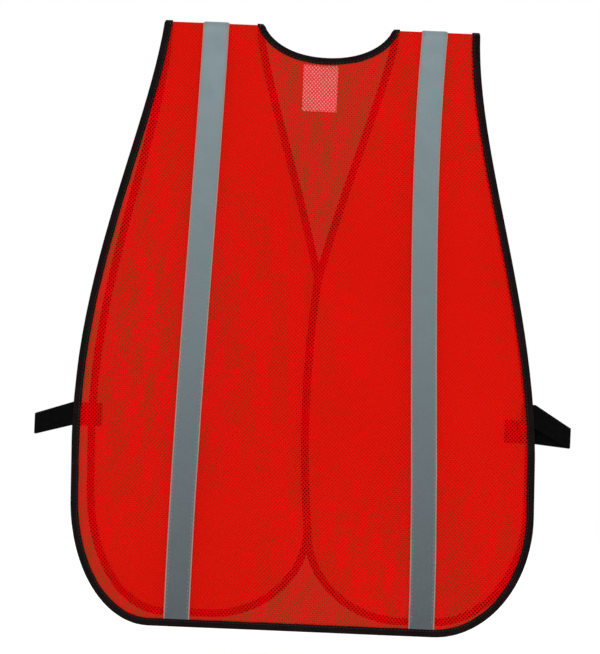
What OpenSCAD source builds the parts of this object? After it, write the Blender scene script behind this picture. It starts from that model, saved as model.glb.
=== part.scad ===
// Safety vest of orange-red mesh, hanging upright, back towards -Y.
// +X is the wearer's right, +Z is up. The origin is on the shoulder fold,
// midway between the back and the front fabric.

/* [Overall] */
// Width of the back below the straps, binding included
chest_w = 457; // [380:1:600]
// Length of the back from the top of the shoulders to the hem
back_l = 597; // [480:1:750]
// Width across both shoulders
shoulder_w = 311; // [255:1:375]
// Clear space between the back and the front fabric
layer_gap = 8; // [6:0.5:14]

/* [Fabric] */
// Thickness of the mesh fabric
fabric_t = 1.2; // [0.8:0.1:2]
// Length of the upright side above the rounded bottom corners
upright_l = 60; // [20:1:120]
// Height of the rounded bottom corners
corner_h = 122; // [70:1:150]
// Width of the rounded left bottom corner
left_corner_w = 81; // [60:1:120]
// Width of the rounded right bottom corner
right_corner_w = 95; // [60:1:120]
// How far the sides bow to the left between the shoulders and the straps
side_bow = 6.6; // [0:0.1:10]

/* [Neck] */
// Width of the neck between its corners on the shoulders
neck_w = 128; // [105:1:155]
// Depth of the scoop at the back of the neck
back_neck_drop = 31; // [20:1:50]
// Depth of the V at the front of the neck
front_neck_drop = 244; // [190:1:290]
// How far the neck and the opening sit to the right of the middle
centre_shift = 6; // [0:0.5:8]

/* [Front] */
// How much shorter the front is than the back
front_short = 9; // [4:0.5:20]
// How far the left front edge lies inside the back edge
left_inset = 14.5; // [1.5:0.5:20]
// How far the right front edge lies inside the back edge
right_inset = 1.5; // [1.5:0.5:20]
// Space between the two edges of the front opening
opening_gap = 1; // [0.6:0.1:4]
// How far the opening bows to the left below the V
opening_bow = 7; // [0:0.5:10]
// Width of the rounded corner at the foot of the opening
opening_corner_w = 100; // [40:1:110]
// Height of the rounded corner at the foot of the opening
opening_corner_h = 90; // [40:1:110]

/* [Binding] */
// Width of the binding on the outer edges and the opening
binding_w = 7.5; // [5:0.5:12]
// Width of the binding on the back of the neck
neck_binding_w = 6.5; // [5:0.5:12]
// Thickness of one turn of the binding tape
binding_t = 0.7; // [0.4:0.1:1]

/* [Reflective tape] */
// Width of the silver tape
tape_w = 22.6; // [18:0.1:31]
// Thickness of the silver tape
tape_t = 0.4; // [0.2:0.1:1]
// Strip of backing that shows beside the silver, each side
backing_edge = 1.4; // [0.5:0.1:3]
// Thickness of the backing
backing_t = 0.4; // [0.2:0.1:1]
// How much further out the left tape is at the hem than at the shoulder
left_tape_splay = 15; // [0:0.5:30]
// The same for the right tape
right_tape_splay = 11; // [0:0.5:30]
// How far out the left tape's upper bend is drawn
left_upper_bend = 4; // [-15:0.5:20]
// How far out the left tape's lower bend is drawn
left_lower_bend = 15; // [-15:0.5:20]
// How far out the right tape's upper bend is drawn
right_upper_bend = -10; // [-15:0.5:20]
// How far out the right tape's lower bend is drawn
right_lower_bend = 10.5; // [-15:0.5:20]
// How far the tape sits inside the middle of the shoulder
tape_inward = 2; // [0:0.5:6]

/* [Side straps] */
// Reach of the left strap beyond its root
left_reach = 35.5; // [30:1:50]
// Reach of the right strap beyond its root
right_reach = 34.5; // [26:1:50]
// Height of the elastic
strap_w = 23; // [18:1:30]
// Thickness of the elastic
strap_t = 1; // [0.8:0.1:1.4]
// Height of the left strap's upper edge above the back hem
left_strap_rise = 217; // [180:1:260]
// Height of the right strap's upper edge above the back hem
right_strap_rise = 233; // [180:1:260]
// How much lower the front end of the right strap is sewn
right_strap_step = 16; // [0:1:24]
// How far the fold of the left strap hangs below its back root
left_strap_sag = 12; // [0:1:25]
// How far the fold of the right strap hangs below its back root
right_strap_sag = 21; // [0:1:25]
// Length of elastic sewn inside the back edge
back_tab_l = 14; // [8:1:25]
// Length of elastic that reaches onto the front
front_tab_l = 28; // [20:1:40]

/* [Neck label] */
// Width of the label
label_w = 34; // [20:1:50]
// Height of the label
label_h = 46; // [25:1:60]
// Thickness of the label
label_t = 0.5; // [0.3:0.1:1]

/* [Hidden] */
left = -1;
right = 1;
steps = 10;             // straight pieces in each curve
swing_gap = 1.6;        // the front starts this far below the fold's middle
flap_gap = 0.5;         // from the flap's fold line to the fabric, each side
strap_gap = 0.8;        // from a strap's hinge line to its end
tip_gap = 0.8;          // from a strap's fold line to the middle of its thickness
tip_narrowing = 2;      // how much the fold pulls the elastic together
seat = 0.05;            // play between pieces laid on each other
half_chest = chest_w / 2;
half_shoulder = shoulder_w / 2;
half_neck = neck_w / 2;
front_y = fabric_t + layer_gap;              // inner face of the front fabric
mid_y = fabric_t + layer_gap / 2;            // middle of the space between the layers
fold_r = mid_y;                              // outer radius of the shoulder fold
strap_back_y = fabric_t + binding_t + seat + strap_t / 2;
strap_front_y = front_y - binding_t - seat - strap_t / 2;
label_gap = 0.3;                             // from the neck binding to the label
left_side_lean = 3.5;   // how far the top of the left side leans out
right_side_lean = 9.5;  // how far the top of the right side leans out
lean_loss = 0.9;        // how much of a front's inset is taken off that lean
side_round = 2.5;       // how much the side is still short of its width at its last bend
reach_past = 60;                             // anything this far out clears the vest

orange = [0.86, 0.16, 0.06];
black = [0.10, 0.08, 0.08];
silver = [0.55, 0.60, 0.62];
cream = [0.80, 0.74, 0.62];

// ---- outlines, in the plane of the fabric: x to the right, y up ----

function curve(a, b, c, d) = [for (i = [0:steps]) let (t = i / steps, u = 1 - t)
    u*u*u*a + 3*u*u*t*b + 3*u*t*t*c + t*t*t*d];
function tail(list) = [for (i = [1:len(list) - 1]) list[i]];
function back_to_front(list) = [for (i = [len(list) - 1:-1:0]) list[i]];
function mirrored(list) = [for (p = list) [-p[0], p[1]]];
function moved(list, dx) = [for (p = list) [p[0] + dx, p[1]]];
function unit(v) = v / norm(v);
function right_of(v) = [v[1], -v[0]];

// The path moved d to its right, with mitred corners
function beside(path, d) = [for (i = [0:len(path) - 1]) let (
    last = len(path) - 1,
    n1 = right_of(unit(path[max(i, 1)] - path[max(i, 1) - 1])),
    n2 = right_of(unit(path[min(i, last - 1) + 1] - path[min(i, last - 1)])))
    path[i] + d * (n1 + n2) / (1 + n1 * n2)];

// Quarter of an oval that starts straight down at p and turns in by w and down by h
function corner(p, w, h) = [for (i = [0:steps]) let (a = 90 * i / steps)
    p + [w * (cos(a) - 1), -h * sin(a)]];

// How far the sides lie to the left at a drop below the shoulders: most of
// side_bow by the middle of the armhole, and nothing at either end
function bow(drop) = let (t = drop / back_l)
    side_bow * (7.6 * (1 - t) * (1 - t) * t - 1.5 * (1 - t) * t * t);
function bowed(list, side) = [for (p = list) [p[0] - side * bow(-p[1]), p[1]]];

// A side edge, drawn as if it were the right one: shoulder, slanted side,
// upright side, rounded corner. The slanted side bends at shares of its height.
function side_edge(side, inset, length) = let (
    hw = half_chest - inset,
    side_lean = side == left ? left_side_lean : right_side_lean,
    corner_top = length - corner_h,
    lean_end = corner_top - upright_l)
    bowed(concat(
        curve([half_shoulder, 0],
              [half_shoulder + side_lean - lean_loss * inset, -0.27 * lean_end],
              [hw - side_round, -0.61 * lean_end],
              [hw, -lean_end]),
        corner([hw, -corner_top], side == left ? left_corner_w : right_corner_w, corner_h)),
        side);

// Right half of the back neck, from the shoulder to the middle, bending at
// shares of its width and depth
back_neck = tail(curve([half_neck, 0], [half_neck * 0.88, -0.57 * back_neck_drop],
    [half_neck * 0.53, -back_neck_drop], [0, -back_neck_drop]));
back_scoop = moved(concat(
    mirrored(concat([[half_neck, 0]], back_neck)),
    tail(back_to_front(concat([[half_neck, 0]], back_neck)))), centre_shift);

function back_side(side) = side_edge(side, 0, back_l);
back_rim = concat(back_side(right), back_to_front(mirrored(back_side(left))));

// Edge of the front opening, from the neck corner down to the hem, drawn as
// if it were the right one: V, which bends at shares of its width and depth,
// bowed edge, rounded corner
front_l = back_l - front_short;
function opening(side) = let (
    x = opening_gap / 2,
    bow_x = x - side * opening_bow / 0.75,
    corner_top = front_l - opening_corner_h,
    run = corner_top - front_neck_drop)
    moved(concat(
        curve([half_neck, 0], [0.94 * half_neck, -0.175 * front_neck_drop],
              [0.28 * half_neck, -0.625 * front_neck_drop], [x, -front_neck_drop]),
        tail(curve([x, -front_neck_drop], [bow_x, -front_neck_drop - run / 3],
              [bow_x, -front_neck_drop - run * 2 / 3], [x, -corner_top])),
        tail(corner([x, -corner_top], -opening_corner_w, opening_corner_h))), centre_shift * side);

function inset_of(side) = side == left ? left_inset : right_inset;
function front_side(side) = side_edge(side, inset_of(side), front_l);

// The whole edge of one front, drawn as if it were the right one
function front_rim(side) = concat(
    back_to_front(opening(side)),
    front_side(side));
function front_edge(side) = concat(
    front_side(side),
    back_to_front(opening(side)));

function fold_line(side) = half_neck + centre_shift * side;
function tape_x(side) = (fold_line(side) + half_shoulder) / 2 - tape_inward;

// Middle of a tape, straight over the shoulder and bent on its way to the hem
function tape_line(side) = let (
    x = tape_x(side),
    upper = side == left ? left_upper_bend : right_upper_bend,
    lower = side == left ? left_lower_bend : right_lower_bend,
    splay = side == left ? left_tape_splay : right_tape_splay)
    concat([[x, 0]], curve([x, -fold_r], [x + upper, -back_l / 3],
        [x + lower, -back_l * 2 / 3], [x + splay, -back_l]));

// The back's rim seen from its other face, for what is drawn on the left
mirrored_rim = back_to_front(mirrored(back_rim));

// ---- flat pieces stood upright ----

// Draws everything at its height below the shoulders, then puts the origin
// on the shoulder fold
module hang() {
    translate([0, -mid_y, fold_r]) children();
}

// A flat shape in the plane of the fabric, from y0 to y0 + t
module sheet(y0, t) {
    translate([0, y0 + t, 0]) rotate([90, 0, 0]) linear_extrude(t) children();
}

// A strip of width w along the right of a path
module band(path, w) {
    polygon(concat(path, back_to_front(beside(path, w))));
}

// The part of a sheet more than drop below the top of the shoulders
module below(drop) {
    intersection() {
        children();
        translate([0, 0, -drop]) mirror([0, 0, 1]) translate([-chest_w, -reach_past, 0])
            cube([chest_w * 2, reach_past * 2, back_l]);
    }
}

// Half tube over the shoulder, from x0 to x1
module shoulder_fold(x0, x1, r_in, r_out) {
    translate([x0, mid_y, -fold_r]) rotate([0, 90, 0]) difference() {
        cylinder(h = x1 - x0, r = r_out, $fn = 64);
        translate([0, 0, -1]) cylinder(h = x1 - x0 + 2, r = r_in, $fn = 64);
        translate([0, -reach_past, -1]) cube([reach_past, 2 * reach_past, x1 - x0 + 2]);
    }
}

// The same on one side of the vest, x counted outwards
module side_fold(side, x0, x1, r_in, r_out) {
    if (side == left) shoulder_fold(-x1, -x0, r_in, r_out);
    else shoulder_fold(x0, x1, r_in, r_out);
}

// ---- back ----

module back_cloth_2d() {
    difference() {
        polygon(concat(back_scoop, back_rim));
        band(back_rim, binding_t);
        band(back_to_front(back_scoop), -binding_t);
    }
}

module back_cloth() {
    below(fold_r) sheet(0, fabric_t) back_cloth_2d();
    for (side = [left, right])
        side_fold(side, fold_line(side) + binding_t, half_shoulder - binding_t,
            layer_gap / 2, fold_r);
}

module back_panel() {
    color(orange) hang() back_cloth();
}

module neck_binding() {
    color(black) hang() difference() {
        union() {
            below(fold_r) sheet(-binding_t, fabric_t + 2 * binding_t)
                band(back_to_front(back_scoop), -neck_binding_w);
            for (side = [left, right])
                side_fold(side, fold_line(side), fold_line(side) + neck_binding_w,
                    layer_gap / 2 - binding_t, fold_r + binding_t);
        }
        back_cloth();
    }
}

module back_edge_binding() {
    color(black) hang() difference() {
        union() {
            below(fold_r) sheet(-binding_t, fabric_t + 2 * binding_t) band(back_rim, binding_w);
            for (side = [left, right])
                side_fold(side, half_shoulder - binding_w, half_shoulder,
                    layer_gap / 2 - binding_t, fold_r + binding_t);
        }
        back_cloth();
    }
}

// ---- reflective tape ----

// A strip w wide from the shoulder to the binding on the rim
module tape_2d(side, w, rim) {
    intersection() {
        band(beside(tape_line(side), -w / 2), w);
        polygon(beside(rim, binding_w + seat));
    }
}

// A strip on the outside of the back, raised by lift, with its turn over the shoulder
module back_strip(side, w, lift, t) {
    below(fold_r) mirror([side == left ? 1 : 0, 0, 0])
        sheet(-lift - t, t) tape_2d(side, w, side == left ? mirrored_rim : back_rim);
    side_fold(side, tape_x(side) - w / 2, tape_x(side) + w / 2, fold_r + lift, fold_r + lift + t);
}

// The same strip on the outside of a front
module front_strip(side, w, lift, t) {
    below(fold_r + swing_gap) mirror([side == left ? 1 : 0, 0, 0])
        sheet(front_y + fabric_t + lift, t) tape_2d(side, w, front_edge(side));
}

module back_backing(side) {
    color(cream) hang() back_strip(side, tape_w + 2 * backing_edge, 0, backing_t);
}

module back_tape(side) {
    color(silver) hang() back_strip(side, tape_w, backing_t, tape_t);
}

module front_backing(side) {
    color(cream) hang() front_strip(side, tape_w + 2 * backing_edge, 0, backing_t);
}

module front_tape(side) {
    color(silver) hang() front_strip(side, tape_w, backing_t, tape_t);
}

// ---- fronts: a panel that hangs from the shoulder, and a flap that opens ----

module front_cloth(side) {
    below(fold_r + swing_gap) mirror([side == left ? 1 : 0, 0, 0])
        sheet(front_y, fabric_t) difference() {
            polygon(front_rim(side));
            band(front_edge(side), binding_t);
        }
}

module front_band(side) {
    difference() {
        below(fold_r + swing_gap) mirror([side == left ? 1 : 0, 0, 0])
            sheet(front_y - binding_t, fabric_t + 2 * binding_t)
                band(front_edge(side), binding_w);
        front_cloth(side);
    }
}

// The part of a front outside its fold line
module panel_side(side) {
    intersection() {
        children();
        mirror([side == left ? 1 : 0, 0, 0])
            translate([fold_line(side) + flap_gap, -reach_past, -back_l])
                cube([chest_w, reach_past * 2, back_l]);
    }
}

// The part of a front inside its fold line
module flap_side(side) {
    intersection() {
        children();
        mirror([side == left ? 0 : 1, 0, 0])
            translate([-fold_line(side) + flap_gap, -reach_past, -back_l])
                cube([chest_w, reach_past * 2, back_l]);
    }
}

module front_panel(side) {
    color(orange) hang() panel_side(side) front_cloth(side);
}

module front_edge_binding(side) {
    color(black) hang() panel_side(side) front_band(side);
}

module front_flap(side) {
    color(orange) hang() flap_side(side) front_cloth(side);
}

module front_opening_binding(side) {
    color(black) hang() flap_side(side) front_band(side);
}

// ---- side straps: elastic folded in two, sewn to the back and the front ----

function strap_drop(side) = back_l - (side == left ? left_strap_rise : right_strap_rise);
function strap_reach(side) = side == left ? left_reach : right_reach;
function front_step(side) = side == left ? 0 : right_strap_step;
function strap_sag(side) = side == left ? left_strap_sag : right_strap_sag;

// How far out the back's edge is at some drop below the shoulders
function back_edge(side, drop) = lookup(-drop, [for (p = back_side(side)) [p[1], p[0]]]);
// Where a strap's root line lies, just outside the back edge along its whole height
function strap_root(side) = strap_gap + max(
    back_edge(side, strap_drop(side)), back_edge(side, strap_drop(side) + strap_w));

// One half of a strap from its root to the fold at its tip
module strap_half(side, y_root, y_tip, root_drop) {
    reach = strap_reach(side);
    tip_drop = strap_drop(side) + strap_sag(side);
    mirror([side == left ? 1 : 0, 0, 0])
        translate([strap_root(side), y_root, 0]) rotate([0, 0, atan2(y_tip - y_root, reach)])
            sheet(-strap_t / 2, strap_t)
                polygon([[strap_gap, -root_drop], [reach, -tip_drop],
                    [reach, -tip_drop - strap_w + tip_narrowing],
                    [strap_gap, -root_drop - strap_w]]);
}

module strap_back(side) {
    color(black) hang() strap_half(side, strap_back_y, mid_y - tip_gap, strap_drop(side));
}

module strap_front(side) {
    color(black) hang() strap_half(side, strap_front_y, mid_y + tip_gap,
        strap_drop(side) + front_step(side));
}

// End of a strap sewn flat inside an edge
module strap_tab(side, y, drop, length) {
    mirror([side == left ? 1 : 0, 0, 0])
        translate([strap_root(side) - strap_gap - length, y - strap_t / 2, -drop - strap_w])
            cube([length, strap_t, strap_w]);
}

module back_strap_tabs() {
    color(black) hang() for (side = [left, right])
        strap_tab(side, strap_back_y, strap_drop(side), back_tab_l);
}

module front_strap_tab(side) {
    color(black) hang() strap_tab(side, strap_front_y,
        strap_drop(side) + front_step(side), front_tab_l);
}

// ---- neck label, sewn in under the neck binding ----

module neck_label() {
    foot = -back_neck_drop - neck_binding_w - label_gap - label_h;
    color("white") hang() translate([-label_w / 2, fabric_t + binding_t, foot])
        cube([label_w, label_t, label_h]);
}

back_panel();
neck_binding();
back_edge_binding();
back_strap_tabs();
neck_label();
back_backing(left);  // back_left_backing
back_tape(left);  // back_left_tape
back_backing(right);  // back_right_backing
back_tape(right);  // back_right_tape
front_panel(left);  // front_left_panel
front_edge_binding(left);  // front_left_edge_binding
front_backing(left);  // front_left_backing
front_tape(left);  // front_left_tape
front_strap_tab(left);  // front_left_strap_tab
front_flap(left);  // front_left_flap
front_opening_binding(left);  // front_left_opening_binding
front_panel(right);  // front_right_panel
front_edge_binding(right);  // front_right_edge_binding
front_backing(right);  // front_right_backing
front_tape(right);  // front_right_tape
front_strap_tab(right);  // front_right_strap_tab
front_flap(right);  // front_right_flap
front_opening_binding(right);  // front_right_opening_binding
strap_back(left);  // left_strap_back
strap_front(left);  // left_strap_front
strap_back(right);  // right_strap_back
strap_front(right);  // right_strap_front
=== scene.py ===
from math import cos, hypot, pi, radians, sin, tau

import bmesh
import bpy
import numpy as np
from mathutils import Matrix, Vector, geometry, kdtree, noise


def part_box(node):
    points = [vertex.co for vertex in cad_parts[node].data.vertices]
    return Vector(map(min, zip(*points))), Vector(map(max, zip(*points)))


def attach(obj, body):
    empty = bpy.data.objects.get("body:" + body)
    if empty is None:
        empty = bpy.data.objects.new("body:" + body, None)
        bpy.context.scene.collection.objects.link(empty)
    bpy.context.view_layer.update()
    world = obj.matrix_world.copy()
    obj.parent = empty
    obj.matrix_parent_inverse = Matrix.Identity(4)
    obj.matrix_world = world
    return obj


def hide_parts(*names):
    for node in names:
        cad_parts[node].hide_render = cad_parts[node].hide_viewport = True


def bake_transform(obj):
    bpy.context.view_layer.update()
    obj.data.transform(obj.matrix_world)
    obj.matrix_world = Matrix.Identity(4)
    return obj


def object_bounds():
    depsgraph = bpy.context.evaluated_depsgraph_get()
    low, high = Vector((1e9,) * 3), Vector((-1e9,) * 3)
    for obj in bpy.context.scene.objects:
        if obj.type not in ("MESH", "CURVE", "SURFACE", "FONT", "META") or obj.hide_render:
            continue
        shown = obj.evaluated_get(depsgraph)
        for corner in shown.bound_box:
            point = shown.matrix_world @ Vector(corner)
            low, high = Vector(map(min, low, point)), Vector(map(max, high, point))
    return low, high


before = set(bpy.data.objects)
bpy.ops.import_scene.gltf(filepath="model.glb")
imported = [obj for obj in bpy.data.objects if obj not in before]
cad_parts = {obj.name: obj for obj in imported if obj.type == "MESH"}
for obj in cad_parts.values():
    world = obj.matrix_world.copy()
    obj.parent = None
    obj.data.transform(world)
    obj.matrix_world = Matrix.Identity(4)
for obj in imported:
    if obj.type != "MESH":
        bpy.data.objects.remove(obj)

cad_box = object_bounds()


# ---- Studio ----
# A pale floor below the hanging vest, pale surroundings and two large soft
# lamps. The camera stands straight behind the wearer's back.

class Wire:
    """A value that varies from place to place. Arithmetic on it adds Math nodes."""

    def __init__(self, nodes, socket):
        self.nodes = nodes
        self.socket = socket

    def maths(self, operation, *values):
        return self.nodes.add("ShaderNodeMath", {"operation": operation}, dict(enumerate(values)))

    def __add__(self, other):
        return self.maths("ADD", self, other)

    def __sub__(self, other):
        return self.maths("SUBTRACT", self, other)

    def __rsub__(self, other):
        return self.maths("SUBTRACT", other, self)

    def __mul__(self, other):
        return self.maths("MULTIPLY", self, other)

    def __gt__(self, other):
        return self.maths("GREATER_THAN", self, other)

    __radd__ = __add__
    __rmul__ = __mul__

    def wave(self, length):
        """A cosine of this wavelength."""
        return self.maths("COSINE", self * (tau / length))

    def between(self, low, high):
        """0 below low, 1 above high and a straight ramp between."""
        return self.nodes.add("ShaderNodeMapRange", {}, {0: self, 1: low, 2: high})


class Nodes:
    """The node tree of one finish, or of the surroundings."""

    def __init__(self, owner):
        owner.use_nodes = True
        self.tree = owner.node_tree
        self.tree.nodes.clear()

    def add(self, kind, settings, sockets, output=0):
        node = self.tree.nodes.new(kind)
        for name, value in settings.items():
            setattr(node, name, value)
        for name, value in sockets.items():
            if isinstance(value, Wire):
                self.tree.links.new(value.socket, node.inputs[name])
            else:
                node.inputs[name].default_value = value
        return Wire(self, node.outputs[output]) if node.outputs else None

    def mix(self, share, first, second):
        return self.add("ShaderNodeMix", {"data_type": "RGBA"}, {0: share, 6: first, 7: second}, 2)

    def mottle(self, at, scale, detail=2.0):
        """Soft noise of about 0 to 1, scale lumps to the metre."""
        return self.add("ShaderNodeTexNoise", {}, {"Vector": at, "Scale": scale, "Detail": detail})


scene = bpy.context.scene
scene.view_settings.view_transform = "Standard"

daylight = (0.88, 0.88, 0.88, 1)
paper_white = (1.0, 1.0, 1.0, 1)
painted_shade_behind_mesh = (0.010, 0.055, 0.021, 1)      # painted shade: the dark that the surroundings and the floor show through the holes of the mesh

world = bpy.data.worlds.new("surroundings")
scene.world = world
sky = Nodes(world)
# Camera rays that have passed through a hole of the mesh meet painted shade instead of the white backdrop.
seen = sky.add("ShaderNodeLightPath", {}, {}, "Is Camera Ray")
past_mesh = sky.add("ShaderNodeLightPath", {}, {}, "Transparent Depth") > 0.5
backdrop = sky.mix(past_mesh, paper_white, painted_shade_behind_mesh)
glow = sky.add("ShaderNodeBackground", {}, {"Color": sky.mix(seen, daylight, backdrop)})
sky.add("ShaderNodeOutputWorld", {}, {"Surface": glow})

floor_drop = 0.065                          # from the hem down to the floor
floor_half = 1.4
bm = bmesh.new()
bmesh.ops.create_grid(bm, x_segments=2, y_segments=2, size=floor_half)
bmesh.ops.translate(bm, verts=bm.verts, vec=(0, 0, cad_box[0].z - floor_drop))
floor = bpy.data.objects.new("floor", bpy.data.meshes.new("floor"))
bm.to_mesh(floor.data)
bm.free()
scene.collection.objects.link(floor)
paint = Nodes(bpy.data.materials.new("pale_floor"))
matt = paint.add("ShaderNodeBsdfPrincipled", {}, {
    "Base Color": (0.92, 0.92, 0.91, 1), "Roughness": 0.9, "Specular IOR Level": 0.1,
    "Emission Color": (1, 1, 1, 1), "Emission Strength": 0.12})
# Seen by the camera through a hole of the mesh, the floor shows the same painted shade.
shade = paint.add("ShaderNodeEmission", {}, {"Color": painted_shade_behind_mesh})
past_mesh = paint.add("ShaderNodeLightPath", {}, {}, "Transparent Depth") > 0.5
seen = paint.add("ShaderNodeLightPath", {}, {}, "Is Camera Ray")
mixed = paint.add("ShaderNodeMixShader", {}, {0: past_mesh * seen, 1: matt, 2: shade})
paint.add("ShaderNodeOutputMaterial", {}, {"Surface": mixed})
floor.data.materials.append(bpy.data.materials["pale_floor"])

vest_middle = (cad_box[0] + cad_box[1]) / 2


def lamp(name, place, size, watts):
    light = bpy.data.lights.new(name, "AREA")
    light.size = size
    light.energy = watts
    stand = bpy.data.objects.new(name, light)
    stand.location = place
    stand.rotation_euler = (vest_middle - Vector(place)).to_track_quat("-Z", "Y").to_euler()
    scene.collection.objects.link(stand)


lamp("key_lamp", (-0.9, -1.7, 0.9), 1.2, 16)
lamp("side_lamp", (1.6, -1.1, 0.1), 1.0, 6)
lamp("far_lamp", (0.7, 1.7, 0.8), 1.2, 14)

view_height = 0.6442                        # how much of the upright plane shows
view_x = -0.0100
view_z = -0.2917
view_roll = radians(2.4)
camera = bpy.data.objects.new("camera", bpy.data.cameras.new("camera"))
camera.data.sensor_width = 36
camera.data.lens = 100
stand_off = view_height * camera.data.lens / camera.data.sensor_width
camera.location = (view_x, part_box("back_panel")[0].y - stand_off, view_z)
camera.rotation_euler = (Matrix.Rotation(pi / 2, 3, "X") @ Matrix.Rotation(view_roll, 3, "Z")).to_euler()
scene.collection.objects.link(camera)
scene.camera = camera


# ---- Back ----
# One cut of open knitted mesh, its neck scooped out and its bottom corners
# rounded. It is pulled up over the shoulders, where it meets the fronts.

fabric_y = 0.0046                           # middle of either fabric, from the middle of the vest
fold_drop = 0.0052                          # height of the turn over the shoulder
half_shoulder = 0.1555
half_neck = 0.064
neck_x = 0.006                              # the neck and the opening sit this far to the right
scoop_drop = 0.031
signs = {"left": -1, "right": 1}
corner_w = {"left": 0.081, "right": 0.095}
corner_h = 0.122
upright = 0.060
half_chest = 0.2285
side_bow = 0.0066
side_lean = {"left": 0.0035, "right": 0.0095}
back_length = fold_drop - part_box("back_edge_binding")[0].z


def bezier(a, b, c, d, count=24):
    return [tuple(p) for p in geometry.interpolate_bezier(Vector(a), Vector(b), Vector(c), Vector(d), count)]


def bow(depth):
    """How far the sides lie to the left, which they do most beside the armholes."""
    share = depth / back_length
    return side_bow * (7.6 * (1 - share) ** 2 * share - 1.5 * (1 - share) * share ** 2)


def side_edge(side, inset, length):
    """Outer edge of one side, as (distance from the middle, depth below the shoulder)."""
    wide = half_chest - inset
    corner_top = length - corner_h
    lean = corner_top - upright
    slant = bezier((half_shoulder, 0), (half_shoulder + side_lean[side] - 0.9 * inset, 0.27 * lean),
                   (wide - 0.0025, 0.61 * lean), (wide, lean))
    round_corner = [(wide + corner_w[side] * (cos(a) - 1), corner_top + corner_h * sin(a))
                    for a in np.linspace(0, pi / 2, 25)]
    return [(x - signs[side] * bow(depth), depth) for x, depth in slant + round_corner]


def across(edge, depth):
    """How far out an edge is at some depth."""
    return float(np.interp(depth, [p[1] for p in edge], [p[0] for p in edge]))


back_sides = {side: side_edge(side, 0, back_length) for side in signs}
scoop_half = bezier((half_neck, 0), (0.88 * half_neck, 0.57 * scoop_drop),
                    (0.53 * half_neck, scoop_drop), (0, scoop_drop))


def scoop(x):
    """Depth of the neck scoop at x, 0 over the shoulders."""
    out = [p[0] for p in reversed(scoop_half)]
    deep = [p[1] for p in reversed(scoop_half)]
    return float(np.interp(abs(x - neck_x), out, deep, right=0))


def unrolled(depth):
    """Height on the flat cloth of a depth on the hanging one."""
    if abs(depth) >= fold_drop:
        return fold_drop - abs(depth) if depth > 0 else 2 * fabric_y * pi / 2 + abs(depth) - fold_drop
    return fabric_y * pi / 2 * (1 - depth / fold_drop)


sways = {}                                  # for each settled cloth, its points and how far out they are
sway_reach = 0.022
lap_slope = 0.0545                          # how steeply the left front rises over the right one


def sway(cloth, x, depth):
    """How far a simulated cloth has settled outwards from flat."""
    total = weights = 0
    for _, index, distance in sways[cloth][0].find_range((x, depth, 0), sway_reach):
        weight = (1 - (distance / sway_reach) ** 2) ** 2
        total += weight * sways[cloth][1][index]
        weights += weight
    return total / weights if weights else 0


def lapped(x, depth):
    """How far out the left front lies, to pass over the right one at the opening."""
    past = x - neck_x + half_neck
    return lap_slope * (past + hypot(past, 0.008)) / 2 * min(1, max(0, depth) / 0.04)


def hung(cloth, x, depth, lift):
    """Where a point of the flat cloth hangs, lift out from the middle of the fabric."""
    face = -1 if cloth == "back" else 1
    reach = fabric_y + lift
    if cloth in sways:
        sewn_edge = 1 if cloth == "back" else min(1, max(0, abs(x - neck_x) - 0.012) / 0.03)
        reach += sway(cloth, x, depth) * sewn_edge
    if cloth == "left":
        reach += lapped(x, depth)
    if abs(depth) >= fold_drop:
        return Vector((x, face * reach * (1 if depth > 0 else -1), fold_drop - abs(depth)))
    turn = pi / 2 * (1 - depth / fold_drop)
    return Vector((x, face * reach * cos(turn), reach * sin(turn)))


def flat_sheet(columns, rows, place, shift=0.0):
    """A sheet on the flat pattern, as x, lift and height, with its flat place as its UVs.
    place gives x and depth for a share of the way across and down."""
    bm = bmesh.new()
    flat = bm.loops.layers.uv.new("flat")
    bmesh.ops.create_grid(bm, x_segments=columns, y_segments=rows, size=1)
    for v in bm.verts:
        x, depth = place((v.co.x + 1) / 2, (1 - v.co.y) / 2)
        v.co = (x, 0, -depth)
    for face in bm.faces:
        for loop in face.loops:
            loop[flat].uv = (loop.vert.co.x + shift, unrolled(-loop.vert.co.z))
    return bm


def hang(bm, cloth):
    """Hangs what was made flat, so it follows the settled cloth over the shoulder."""
    for v in bm.verts:
        v.co = hung(cloth, v.co.x, -v.co.z, v.co.y)
    bm.normal_update()


def finished(name, bm, *finishes):
    piece = bpy.data.objects.new(name, bpy.data.meshes.new(name))
    bm.to_mesh(piece.data)
    bm.free()
    for finish in finishes:
        piece.data.materials.append(finish)
    piece.data.shade_smooth()
    scene.collection.objects.link(piece)
    return piece


def facing(bm, face):
    """Turns an open sheet's faces towards the back (-1) or the front (1)."""
    bm.normal_update()
    if sum(f.normal.y * f.calc_area() for f in bm.faces) * face < 0:
        bmesh.ops.reverse_faces(bm, faces=bm.faces)
        bm.normal_update()


def square_edges(bm):
    """Shades the cut edges of a thin slab as corners."""
    for edge in bm.edges:
        edge.smooth = edge.calc_face_angle(0) < 0.7


def rows_down(share, top, length, corner):
    """Even rows that close up towards the tip of a rounded corner."""
    straight = length - corner - top
    arc = corner * pi / 2
    run = share * (straight + arc)
    if run <= straight:
        return top + run
    return top + straight + corner * sin((run - straight) / corner)


def back_place(u, v):
    zones = [-half_shoulder, neck_x - half_neck, neck_x + half_neck, half_shoulder]
    share = float(np.interp(u, [0, 0.3148, 0.7222, 1], zones)) / half_shoulder
    edge = back_sides["left" if share < 0 else "right"]
    top = 0
    for _ in range(3):
        top = scoop(share * across(edge, top))
    depth = rows_down(v, top, back_length, corner_h)
    return share * across(edge, depth), depth


settle_frames = 24
edge_shrink = -0.0022
most_out = 0.0024                           # how far a point may settle outwards
most_in = 0.0008


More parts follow.
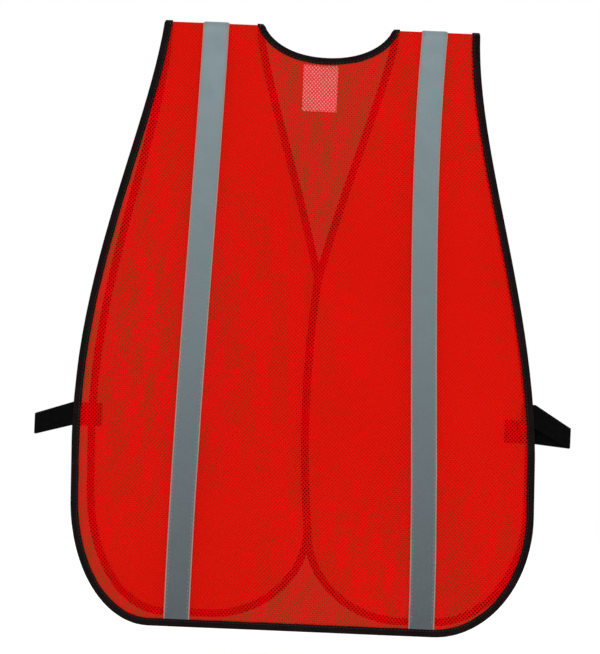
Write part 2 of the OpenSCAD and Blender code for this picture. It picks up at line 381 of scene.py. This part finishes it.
def settle(cloth, place, columns, rows):
    """Lets a coarse copy of a cloth hang from the shoulder with its bound edge drawn in, and
    keeps how far each point settled out of the flat."""
    bm = flat_sheet(columns, rows, place)
    flat = [(v.co.x, -v.co.z, 0) for v in bm.verts]
    hang(bm, cloth)
    for v in bm.verts:
        v.co.y += 0.0005 * noise.noise(v.co * 14)
    rest = np.array([v.co.y for v in bm.verts])
    bm.verts.ensure_lookup_table()
    bound = [v.index for v in bm.verts if v.is_boundary]
    held = [i for i, (x, depth, _) in enumerate(flat)
            if depth < 0.012 or (abs(x) > half_chest - 0.045 and 0.35 < depth < 0.42)]
    sheet = finished(cloth + "_drape", bm)
    sheet.vertex_groups.new(name="held").add(held, 1, "REPLACE")
    sheet.vertex_groups.new(name="bound").add(bound, 1, "REPLACE")
    drape = sheet.modifiers.new("drape", "CLOTH")
    drape.settings.quality = 6
    drape.settings.mass = 0.05
    drape.settings.bending_stiffness = 0.4
    drape.settings.vertex_group_mass = "held"
    drape.settings.vertex_group_shrink = "bound"
    drape.settings.shrink_min = edge_shrink
    drape.settings.shrink_max = 0.0
    drape.collision_settings.use_collision = False
    drape.point_cache.frame_start = 1
    drape.point_cache.frame_end = settle_frames
    for step in range(1, settle_frames + 1):
        scene.frame_set(step)
    settled = sheet.evaluated_get(bpy.context.evaluated_depsgraph_get()).data
    out = (np.array([v.co.y for v in settled.vertices]) - rest) * (-1 if cloth == "back" else 1)
    scene.frame_set(1)
    bpy.data.objects.remove(sheet)
    most = np.where(out > 0, most_out, most_in)
    out = most * np.tanh(out / most)
    tree = kdtree.KDTree(len(flat))
    for i, point in enumerate(flat):
        tree.insert(point, i)
    tree.balance()
    sways[cloth] = (tree, out)


hole_w = 0.0036                             # from one hole of the mesh to the next
hole_h = 0.0039


def mesh_fabric():
    """Orange-red knitted polyester, with rows of small holes set like bricks. The yarn is thin
    enough to see a little through it."""
    finish = bpy.data.materials.new("knitted_mesh")
    dye = Nodes(finish)
    uv = dye.add("ShaderNodeTexCoord", {}, {}, "UV")
    at = dye.add("ShaderNodeSeparateXYZ", {}, {0: uv})
    u = Wire(dye, at.socket.node.outputs[0])
    v = Wire(dye, at.socket.node.outputs[1])
    pull = dye.mottle(uv, 9, 1) - 0.5
    lattice = (u + pull * 0.006).wave(hole_w) * (v + pull * 0.004).wave(hole_h)
    holes = (lattice + (dye.mottle(uv, 260) - 0.5) * 0.25).between(0.26, 0.44)
    cloth = 0.84 - holes * 0.84
    fade = dye.mottle(uv, 7, 3)
    fuzz = dye.mottle(uv, 900, 3)
    yarn = dye.mix(fade, (0.62, 0.0008, 0.0003, 1), (0.71, 0.0016, 0.0006, 1))
    # Painted shade: the yarn darkens towards each hole, as in the hollows of the knit.
    yarn = dye.mix(holes * 0.35, yarn, (0.42, 0.0006, 0.0003, 1))
    height = (1 - lattice) * 0.5 + fuzz * 0.35
    bump = dye.add("ShaderNodeBump", {}, {"Strength": 0.5, "Distance": 0.0004, "Height": height})
    knit = dye.add("ShaderNodeBsdfPrincipled", {}, {
        "Base Color": yarn, "Roughness": 0.8, "Specular IOR Level": 0.02, "Normal": bump, "Alpha": cloth})
    dye.add("ShaderNodeOutputMaterial", {}, {"Surface": knit})
    return finish


knitted = mesh_fabric()
settle("back", back_place, 54, 74)
bm = flat_sheet(108, 150, back_place)
hang(bm, "back")
facing(bm, -1)
back_mesh = finished("back_mesh", bm, knitted)
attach(back_mesh, "back")
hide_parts("back_panel")


# ---- Fronts ----
# Each front is one cut of the same mesh, from the shoulder to the hem, with
# half of the V and a rounded corner at the foot of the opening. It folds down
# its length where its flap is turned back, so it is parted beside that line.

v_drop = 0.249
front_length = fold_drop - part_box("front_left_edge_binding")[0].z
opening_lap = 0.0075                        # the left front's edge lies this far over the right one's
opening_bow = 0.007                         # and both edges bow this far to the left
foot_w = 0.100
foot_h = 0.090
insets = {"left": 0.0145, "right": 0.0015}
fold_half = 0.012                           # the turned cloth bends this far either side of its line
flap_top = 0.012
hole_shift = hole_w * 0.3                   # the fronts' holes lie this far beside the back's


def opening_edge(side):
    """One front's edge at the opening, as (distance out from the neck's middle, depth)."""
    tip = -opening_lap / 2
    bowed = tip - signs[side] * opening_bow / 0.75
    foot_top = front_length - foot_h
    third = (foot_top - v_drop) / 3
    v = bezier((half_neck, 0), (0.94 * half_neck, 0.175 * v_drop),
               (0.28 * half_neck, 0.625 * v_drop), (tip, v_drop), 40)
    middle = bezier((tip, v_drop), (bowed, v_drop + third), (bowed, foot_top - third), (tip, foot_top))
    foot = [(tip + foot_w * (1 - cos(a)), foot_top + foot_h * sin(a)) for a in np.linspace(0, pi / 2, 25)]
    return v + middle[1:] + foot[1:]


openings = {side: opening_edge(side) for side in signs}


def fold_x(side):
    """The upright line, below the neck corner, that a flap turns about."""
    return signs[side] * half_neck + neck_x


def front_place(side):
    edge = side_edge(side, insets[side], front_length)

    def place(u, v):
        depth = rows_down(v, 0, front_length, foot_h)
        inner = signs[side] * across(openings[side], depth) + neck_x
        outer = signs[side] * across(edge, depth)
        return inner + (outer - inner) * u, depth

    return place


for side in ("left", "right"):
    sign = signs[side]
    settle(side, front_place(side), 26, 74)
    parting = fold_x(side) + sign * fold_half
    for part in ("panel", "flap"):
        bm = flat_sheet(54, 150, front_place(side), hole_shift)
        everything = bm.verts[:] + bm.edges[:] + bm.faces[:]
        bmesh.ops.bisect_plane(bm, geom=everything, plane_co=(parting, 0, 0), plane_no=(sign, 0, 0))
        everything = bm.verts[:] + bm.edges[:] + bm.faces[:]
        bmesh.ops.bisect_plane(bm, geom=everything, plane_co=(0, 0, -flap_top), plane_no=(0, 0, 1))
        in_flap = [f for f in bm.faces if (f.calc_center_median().x - parting) * sign < 0
                   and f.calc_center_median().z < -flap_top]
        rest_of_it = set(bm.faces) - set(in_flap)
        bmesh.ops.delete(bm, geom=list(rest_of_it) if part == "flap" else in_flap, context="FACES")
        hang(bm, side)
        facing(bm, 1)
        piece = finished(f"{side}_front_{part}_mesh", bm, knitted)
        if part == "panel":
            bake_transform(piece)
            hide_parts(f"front_{side}_panel")
        else:
            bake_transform(piece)
            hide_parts(f"front_{side}_flap")


# ---- Binding ----
# Black woven tape folded over every raw edge and sewn through with one row
# of stitches. It is cut off square where the fold of the shoulder crosses it.

binding_w = 0.0075
neck_binding_w = 0.0065
binding_half = 0.0013                       # half its thickness over the fabric


def even(points, step):
    """The same line with its points step apart."""
    points = np.array(points)
    run = np.concatenate([[0], np.cumsum(np.hypot(*np.diff(points, axis=0).T))])
    at = np.linspace(0, run[-1], max(2, round(run[-1] / step) + 1))
    return np.column_stack([np.interp(at, run, points[:, k]) for k in range(2)])


def inward(path):
    """Unit vectors to the right of a line of (x, depth) points."""
    along = np.gradient(path, axis=0)
    along /= np.hypot(*along.T)[:, None]
    return np.column_stack([-along[:, 1], along[:, 0]])


def folded_section(width):
    """The tape's cut end as (distance in from the edge, lift) points, all the way round."""
    t = binding_half
    outside = [(width, 0.4 * t), (width, 0.85 * t), (width - 0.0004, t), (0.0014, t), (0.0005, 0.8 * t),
               (0, 0.35 * t)]
    inside = [(0.0014, -0.4 * t), (0.0014, 0.4 * t)]
    return outside + [(a, -b) for a, b in reversed(outside)] + inside


def sewn_band(path, section, turn):
    """Carries a section along a flat path, to the right of it with turn 1. The wear of the
    sewing moves the edges a little."""
    side = inward(path) * turn
    bm = bmesh.new()
    flat = bm.loops.layers.uv.new("flat")
    bmesh.ops.create_grid(bm, x_segments=len(path) - 1, y_segments=len(section), size=0.5)
    run = np.concatenate([[0], np.cumsum(np.hypot(*np.diff(path, axis=0).T))])
    loop = section + section[:1]
    girth = np.concatenate([[0], np.cumsum(np.hypot(*np.diff(loop, axis=0).T))])
    places = {}
    for v in bm.verts:
        i = round((v.co.x + 0.5) * (len(path) - 1))
        j = round((v.co.y + 0.5) * len(section))
        places[v] = (i, j)
    for face in bm.faces:
        for corner in face.loops:
            i, j = places[corner.vert]
            corner[flat].uv = (run[i], girth[j])
    for v, (i, j) in places.items():
        a, b = section[j % len(section)]
        wander = 0.00025 * noise.noise((run[i] * 90, turn, path[0][0] * 10))
        if a > binding_half:
            a += wander + 0.0002 * noise.noise((run[i] * 300, 5, b * 900))
        b *= 1 + 0.10 * noise.noise((run[i] * 160, 9, turn))
        x, depth = path[i] + side[i] * a
        v.co = (x, b, -depth)
    bmesh.ops.remove_doubles(bm, verts=bm.verts, dist=1e-6)
    bmesh.ops.holes_fill(bm, edges=[e for e in bm.edges if e.is_boundary])
    return bm


def add_stitches(bm, path, turn, inset, lift, pitch=0.0034, long=0.0024, thick=0.00042, slot=1):
    """A row of stitches, each a small bead of thread, inset from a path."""
    spots = even(path, pitch)
    side = inward(spots) * turn
    lines = np.gradient(spots, axis=0)
    for spot, to_side, line in zip(spots, side, lines):
        x, depth = spot + to_side * inset
        lean = np.arctan2(-line[1], line[0])
        place = (Matrix.Translation((x, lift, -depth)) @ Matrix.Rotation(-lean, 4, "Y")
                 @ Matrix.Diagonal((long / 2, thick / 2, thick / 2, 1)))
        bead = bmesh.ops.create_icosphere(bm, subdivisions=1, radius=1, matrix=place)["verts"]
        for face in {face for v in bead for face in v.link_faces}:
            face.material_index = slot


def woven_binding():
    """Black polyester tape with a fine slanting weave, greyed in soft patches."""
    finish = bpy.data.materials.new("binding_tape")
    dye = Nodes(finish)
    uv = dye.add("ShaderNodeTexCoord", {}, {}, "UV")
    at = dye.add("ShaderNodeSeparateXYZ", {}, {0: uv})
    u = Wire(dye, at.socket.node.outputs[0])
    v = Wire(dye, at.socket.node.outputs[1])
    ribs = (u + v * 0.6).wave(0.0009) * 0.5 + 0.5
    worn = dye.mottle(uv, 60, 3).between(0.35, 0.75)
    colour = dye.mix(worn, (0.0030, 0.0015, 0.0016, 1), (0.0075, 0.0040, 0.0045, 1))
    colour = dye.mix(ribs * 0.35, colour, (0.014, 0.009, 0.0095, 1))
    height = ribs + dye.mottle(uv, 1500) * 0.5
    bump = dye.add("ShaderNodeBump", {}, {"Strength": 0.6, "Distance": 0.0002, "Height": height})
    cloth = dye.add("ShaderNodeBsdfPrincipled", {}, {
        "Base Color": colour, "Roughness": 0.85, "Specular IOR Level": 0.04, "Normal": bump})
    dye.add("ShaderNodeOutputMaterial", {}, {"Surface": cloth})
    return finish


def thread(name, dark, light):
    finish = bpy.data.materials.new(name)
    dye = Nodes(finish)
    spot = dye.add("ShaderNodeTexCoord", {}, {}, "Object")
    twist = dye.mottle(spot, 2200, 2)
    bump = dye.add("ShaderNodeBump", {}, {"Strength": 0.4, "Distance": 0.0001, "Height": twist})
    strand = dye.add("ShaderNodeBsdfPrincipled", {}, {
        "Base Color": dye.mix(twist, dark, light), "Roughness": 0.55, "Normal": bump})
    dye.add("ShaderNodeOutputMaterial", {}, {"Surface": strand})
    return finish


binding_cloth = woven_binding()
black_thread = thread("black_thread", (0.006, 0.004, 0.004, 1), (0.024, 0.018, 0.018, 1))
binding_step = 0.004
stitch_in = 0.0016                          # from the binding's inner edge to its stitches


def bind(name, path, width, cloth, turn):
    path = even(path, binding_step)
    bm = sewn_band(path, folded_section(width), turn)
    for lift in (binding_half, -binding_half):
        add_stitches(bm, path, turn, width - stitch_in, lift)
    hang(bm, cloth)
    bmesh.ops.recalc_face_normals(bm, faces=bm.faces)
    return finished(name, bm, binding_cloth, black_thread)


rim = [(-x, depth) for x, depth in back_sides["left"]] + back_sides["right"][::-1]
back_edge = bind("back_edge_binding_tape", rim, binding_w, "back", -1)
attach(back_edge, "back")
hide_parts("back_edge_binding")

over = 0.0082                               # the neck binding reaches this far down the fronts
over_left = [(neck_x - across(openings["left"], d), -d) for d in np.linspace(over, 0.001, 8)]
over_right = [(neck_x + across(openings["right"], d), -d) for d in np.linspace(0.001, over, 8)]
scoop_left = [(neck_x - x, depth) for x, depth in scoop_half]
scoop_right = [(neck_x + x, depth) for x, depth in reversed(scoop_half)]
neck_path = over_left + scoop_left + scoop_right[1:] + over_right
neck = bind("neck_binding_tape", neck_path, neck_binding_w, "back", 1)
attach(neck, "back")
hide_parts("neck_binding")

for side in ("left", "right"):
    sign = signs[side]
    fold = fold_x(side)
    parting = fold + sign * fold_half
    outer = [(sign * x, depth) for x, depth in side_edge(side, insets[side], front_length)]
    out = half_neck + fold_half
    foot = [p for p in openings[side] if p[1] > v_drop]
    meeting = (parting, float(np.interp(out, [p[0] for p in foot], [p[1] for p in foot])))
    outer += [(neck_x + sign * x, depth) for x, depth in reversed(foot) if x > out] + [meeting]
    edge = bind(f"{side}_front_edge_binding_tape", outer, binding_w, side, sign)
    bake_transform(edge)
    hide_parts(f"front_{side}_edge_binding")

    opening = [(neck_x + sign * x, depth) for x, depth in openings[side] if depth > over and x < out]
    opening = [(neck_x + sign * across(openings[side], over), over)] + opening + [meeting]
    edge = bind(f"{side}_front_opening_binding_tape", opening, binding_w, side, -sign)
    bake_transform(edge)
    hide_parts(f"front_{side}_opening_binding")


# ---- Reflective tape ----
# Silver glass-bead tape on a cream backing that shows at both edges. One
# length runs over each shoulder, sewn down along both sides, and slants
# outwards to the hems.

tape_w = 0.0226
backing_w = tape_w + 2 * 0.0014
backing_lift = 0.0006
tape_lift = 0.0010
tape_t = 0.0004
tape_runs = {"left": (0.10475, 0.10875, 0.11975, 0.11975), "right": (0.11075, 0.10075, 0.12125, 0.12175)}


def tape_line(side):
    """Middle of a tape as (distance out, depth), straight over the shoulder and bent below it."""
    depths = (fold_drop, back_length / 3, back_length * 2 / 3, back_length)
    top = (tape_runs[side][0], 0)
    return [top] + bezier(*zip(tape_runs[side], depths), count=80)


def tape_end(edge, x):
    """Depth at which the hem's binding stops the tape."""
    return float(np.interp(abs(x), [p[0] for p in reversed(edge)], [p[1] for p in reversed(edge)],
                           left=edge[-1][1])) - binding_w - 0.0002


def tape_slab(side, width, lift, edge):
    line = tape_line(side)
    hem_edge = edge[-25:]

    def place(u, v):
        offset = width * (u - 0.5)
        depth = v * tape_end(hem_edge, across(line, edge[-1][1]) + offset)
        return signs[side] * (across(line, depth) + offset), depth

    bm = flat_sheet(8, 190, place)
    for v in bm.verts:
        v.co.y = lift + tape_t + 0.00012 * noise.noise((v.co.x * 60, side == "left", v.co.z * 140))
    facing(bm, 1)
    bmesh.ops.solidify(bm, geom=bm.faces[:], thickness=tape_t)
    square_edges(bm)
    return bm


def silver_tape():
    """Glass beads on silver cloth with faint creases, painted with shade that makes it darker and bluer
    towards the hem.
    """
    finish = bpy.data.materials.new("silver_tape")
    dye = Nodes(finish)
    spot = dye.add("ShaderNodeTexCoord", {}, {}, "Object")
    at = dye.add("ShaderNodeSeparateXYZ", {}, {0: spot})
    height = Wire(dye, at.socket.node.outputs[2])
    beads = dye.add("ShaderNodeTexVoronoi", {}, {"Vector": spot, "Scale": 2600})
    crease = dye.add("ShaderNodeTexNoise", {}, {
        "Vector": dye.add("ShaderNodeMapping", {}, {"Vector": spot, "Scale": (18, 18, 160)}),
        "Scale": 1.0, "Detail": 3.0})
    soil = dye.mottle(spot, 45, 4)
    # Painted shade: lighter at the top and darker and bluer towards the hem, as the light falls from above.
    colour = dye.mix(height.between(-0.58, 0.0), (0.020, 0.028, 0.037, 1), (0.147, 0.202, 0.216, 1))
    colour = dye.mix(soil.between(0.3, 0.8) * 0.28, colour, (0.06, 0.08, 0.09, 1))
    colour = dye.mix(beads * 0.25, colour, (0.32, 0.37, 0.38, 1))
    relief = beads * 0.25 + crease
    bump = dye.add("ShaderNodeBump", {}, {"Strength": 0.35, "Distance": 0.0006, "Height": relief})
    skin = dye.add("ShaderNodeBsdfPrincipled", {}, {
        "Base Color": colour, "Roughness": soil.between(0.0, 1.6) * 0.4 + 0.38,
        "Specular IOR Level": 0.3, "Normal": bump})
    dye.add("ShaderNodeOutputMaterial", {}, {"Surface": skin})
    return finish


def backing_cloth():
    finish = bpy.data.materials.new("cream_backing")
    dye = Nodes(finish)
    spot = dye.add("ShaderNodeTexCoord", {}, {}, "Object")
    weave = dye.mottle(spot, 1400, 2)
    stain = dye.mottle(spot, 90, 3)
    # The cream cloth is painted as a dim, pinkish tan, which is painted shade along the tape's edges.
    colour = dye.mix(stain, (0.27, 0.15, 0.13, 1), (0.40, 0.23, 0.19, 1))
    bump = dye.add("ShaderNodeBump", {}, {"Strength": 0.5, "Distance": 0.0002, "Height": weave})
    cloth = dye.add("ShaderNodeBsdfPrincipled", {}, {
        "Base Color": dye.mix(weave * 0.4, colour, (0.18, 0.10, 0.09, 1)), "Roughness": 0.85, "Normal": bump})
    dye.add("ShaderNodeOutputMaterial", {}, {"Surface": cloth})
    return finish


silver = silver_tape()
cream = backing_cloth()
grey_thread = thread("grey_thread", (0.15, 0.19, 0.20, 1), (0.24, 0.28, 0.29, 1))
tape_stitch_in = 0.0013

for side in ("left", "right"):
    for cloth in ("back", side):
        edge = back_sides[side] if cloth == "back" else side_edge(side, insets[side], front_length)
        place = "back" if cloth == "back" else "front"
        for kind, width, lift in (("backing", backing_w, backing_lift), ("tape", tape_w, tape_lift)):
            bm = tape_slab(side, width, lift, edge)
            if kind == "tape":
                foot = edge[-1][1] - binding_w - 0.004
                for turn in (-1, 1):
                    seam = [(signs[side] * (x + turn * (width / 2 - tape_stitch_in)), depth)
                            for x, depth in tape_line(side) if depth < foot]
                    add_stitches(bm, seam, 1, 0, lift + tape_t, pitch=0.0042, long=0.0030)
            hang(bm, cloth)
            bmesh.ops.recalc_face_normals(bm, faces=bm.faces)
            finishes = (silver, grey_thread) if kind == "tape" else (cream,)
            piece = finished(f"{side}_{place}_{kind}_strip", bm, *finishes)
            if cloth == "back":
                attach(piece, "back")
            else:
                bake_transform(piece)
            node = f"back_{side}_{kind}" if cloth == "back" else f"front_{side}_{kind}"
            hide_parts(node)


# ---- Neck label ----
# A blank, pale satin label behind the back mesh, hung by its top edge from
# the neck binding.

label_low, label_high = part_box("neck_label")
label_t = 0.0003


def satin():
    finish = bpy.data.materials.new("satin_label")
    dye = Nodes(finish)
    spot = dye.add("ShaderNodeTexCoord", {}, {}, "Object")
    at = dye.add("ShaderNodeSeparateXYZ", {}, {0: spot})
    ribs = Wire(dye, at.socket.node.outputs[2]).wave(0.0007) * 0.5 + 0.5
    soft = dye.mottle(spot, 120, 3)
    # The pale satin is painted dimmer and pinker: painted shade and red light from the mesh that hangs over
    # it.
    colour = dye.mix(soft, (0.74, 0.53, 0.50, 1), (0.82, 0.60, 0.57, 1))
    bump = dye.add("ShaderNodeBump", {}, {"Strength": 0.4, "Distance": 0.0001, "Height": ribs + soft * 0.5})
    cloth = dye.add("ShaderNodeBsdfPrincipled", {}, {"Base Color": colour, "Roughness": 0.4, "Normal": bump})
    dye.add("ShaderNodeOutputMaterial", {}, {"Surface": cloth})
    return finish


bm = bmesh.new()
bmesh.ops.create_grid(bm, x_segments=14, y_segments=18, size=0.5)
middle = (label_low + label_high) / 2
size = label_high - label_low
for v in bm.verts:
    curl = 0.0008 * max(0, -v.co.y - 0.2) ** 2 * 4 + 0.0002 * noise.noise(v.co * 3)
    v.co = (middle.x + v.co.x * size.x, middle.y - 0.0001 + curl, middle.z + v.co.y * size.z)
for v in bm.verts:
    v.co.y -= sway("back", v.co.x, fold_drop - v.co.z) if sways else 0
bmesh.ops.recalc_face_normals(bm, faces=bm.faces)
bm.normal_update()
bmesh.ops.solidify(bm, geom=bm.faces[:], thickness=label_t)
bmesh.ops.recalc_face_normals(bm, faces=bm.faces)
label = finished("neck_label_cloth", bm, satin())
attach(label, "label")
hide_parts("neck_label")


# ---- Side straps ----
# Ribbed black elastic, one length for each side, folded in two and sewn flat
# inside the edges of the back and the front.

strap_t = 0.001
strap_h = 0.023
tip_narrow = 0.002
tab_back = 0.014
tab_front = 0.028
root_y = 0.00275
tip_y = 0.0008
straps = {"left": (0.2308, 0.2663, 0.380, 0.0, 0.012), "right": (0.2253, 0.2598, 0.364, 0.016, 0.021)}


def elastic_cloth():
    finish = bpy.data.materials.new("ribbed_elastic")
    dye = Nodes(finish)
    uv = dye.add("ShaderNodeTexCoord", {}, {}, "UV")
    at = dye.add("ShaderNodeSeparateXYZ", {}, {0: uv})
    u = Wire(dye, at.socket.node.outputs[0])
    v = Wire(dye, at.socket.node.outputs[1])
    cords = v.wave(0.0016) * 0.5 + 0.5
    picks = u.wave(0.0008) * 0.5 + 0.5
    lint = dye.mottle(uv, 220, 4)
    colour = dye.mix(lint.between(0.4, 0.8), (0.0010, 0.0009, 0.0009, 1), (0.0028, 0.0025, 0.0024, 1))
    height = cords + picks * 0.4
    bump = dye.add("ShaderNodeBump", {}, {"Strength": 0.6, "Distance": 0.0003, "Height": height})
    cloth = dye.add("ShaderNodeBsdfPrincipled", {}, {
        "Base Color": colour, "Roughness": 0.85, "Specular IOR Level": 0.04, "Normal": bump})
    dye.add("ShaderNodeOutputMaterial", {}, {"Surface": cloth})
    return finish


elastic = elastic_cloth()


def strap_strip(side, stations, height_rows=10):
    """Elastic through (distance out, y, depth of top, height) stations, given a thickness."""
    stations = np.array(stations)
    run = np.concatenate([[0], np.cumsum(np.hypot(*np.diff(stations[:, :2], axis=0).T))])
    bm = bmesh.new()
    flat = bm.loops.layers.uv.new("flat")
    bmesh.ops.create_grid(bm, x_segments=len(stations) - 1, y_segments=height_rows, size=0.5)
    places = {v: (round((v.co.x + 0.5) * (len(stations) - 1)), 0.5 - v.co.y) for v in bm.verts}
    for face in bm.faces:
        for corner in face.loops:
            i, down = places[corner.vert]
            corner[flat].uv = (run[i], down * strap_h)
    for v, (i, down) in places.items():
        out, y, top, height = stations[i]
        v.co = (signs[side] * out, y, fold_drop - top - down * height)
    bm.normal_update()
    if signs[side] > 0:
        bmesh.ops.reverse_faces(bm, faces=bm.faces)
        bm.normal_update()
    bmesh.ops.solidify(bm, geom=bm.faces[:], thickness=strap_t)
    bmesh.ops.recalc_face_normals(bm, faces=bm.faces)
    square_edges(bm)
    return bm


for side in ("left", "right"):
    root, tip, top, step, sag = straps[side]
    sign = signs[side]

    def along(start, stop, count, face):
        """Stations on one half of the strap between two shares of its reach."""
        back_half = face < 0
        rows = []
        for share in np.linspace(start, stop, count):
            out = root + (tip - root) * share
            y = face * (root_y + (tip_y - root_y) * share)
            start_top = top if back_half else top + step
            head = start_top + (top + sag - start_top) * share
            rows.append((out, y, head, strap_h - tip_narrow * share))
        return rows

    tab = [(root - d, -root_y, top, strap_h) for d in np.linspace(tab_back, 0.001, 6)]
    bm = strap_strip(side, tab + along(0, 0.8, 14, -1))
    piece = finished(f"{side}_strap_back_half", bm, elastic)
    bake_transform(piece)
    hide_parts(f"{side}_strap_back", "back_strap_tabs")

    turn = [(tip + tip_y * sin(a), -tip_y * cos(a), top + sag + 0.0008 * sin(a),
             strap_h - tip_narrow - 0.0016 * sin(a)) for a in np.linspace(0, pi, 9)]
    bm = strap_strip(side, along(0.8, 1, 5, -1)[:-1] + turn + along(1, 0, 16, 1)[1:])
    piece = finished(f"{side}_strap_front_half", bm, elastic)
    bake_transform(piece)
    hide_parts(f"{side}_strap_front")

    tab = [(root - 0.0008 - d, root_y, top + step, strap_h) for d in np.linspace(0, tab_front, 8)]
    bm = strap_strip(side, tab)
    piece = finished(f"{side}_front_strap_end", bm, elastic)
    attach(piece, f"{side}_front")
    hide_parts(f"front_{side}_strap_tab")


# ---- Sheets ----
# The cloths that hang, and the sizes that they were cut to. Each front was cut
# in one; its panel and its flap are declared as the two parts of that cut.


on_back = [back_edge, neck] + [bpy.data.objects[f"{side}_back_{kind}_strip"]
                               for side in signs for kind in ("backing", "tape")]
on_back += [bpy.data.objects[f"{side}_strap_back_half"] for side in signs]
for side in signs:
    for part, sewn_on in (("panel", ("edge_binding_tape", "backing_strip", "tape_strip", "strap_end")),
                          ("flap", ("opening_binding_tape",))):
        piece = bpy.data.objects[f"{side}_front_{part}_mesh"]
